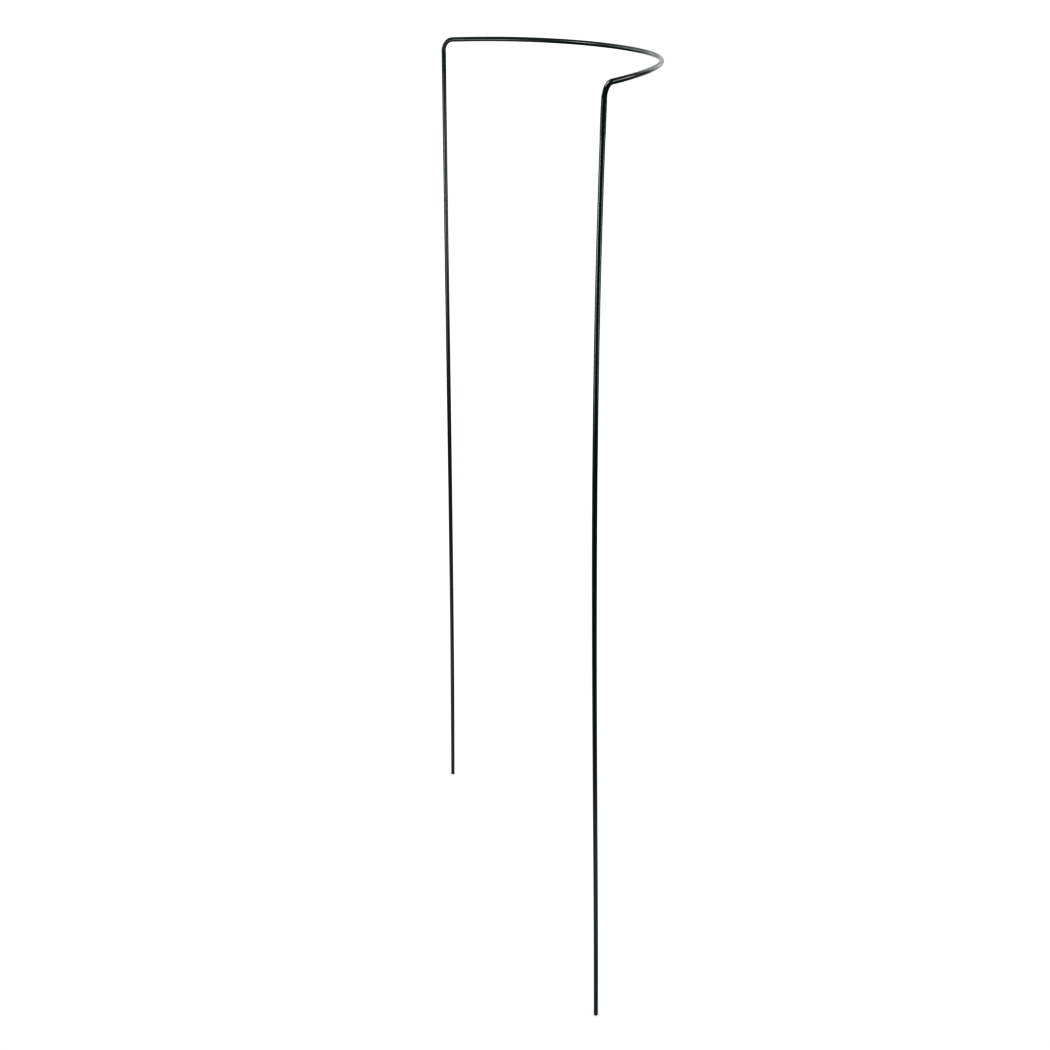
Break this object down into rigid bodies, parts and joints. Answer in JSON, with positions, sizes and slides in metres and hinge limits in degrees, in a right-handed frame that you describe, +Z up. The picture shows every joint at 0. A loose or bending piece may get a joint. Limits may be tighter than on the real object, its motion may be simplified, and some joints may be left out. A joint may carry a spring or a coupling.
{
  "type": "shrub support",
  "caption": "Wire hoop that holds up a shrub: two long legs for the soil and a shallow bow on top, steel wire in a green plastic coating.",
  "frame": {"origin": "midway between the two leg tips, on the level of the tips", "axes": "+Z up along the legs, +X from the left leg to the right leg, +Y forward, to the side that the bow swings out to"},
  "size_m": [0.434, 0.1344, 0.8967],
  "materials": {
    "drawn_steel": "drawn wire, sheared square at the tips",
    "green_plastic": "glossy, very dark green"
  },
  "bodies": {
    "root": {"steel_core": "drawn_steel", "plastic_coating": "green_plastic"}
  },
  "joints": []
}
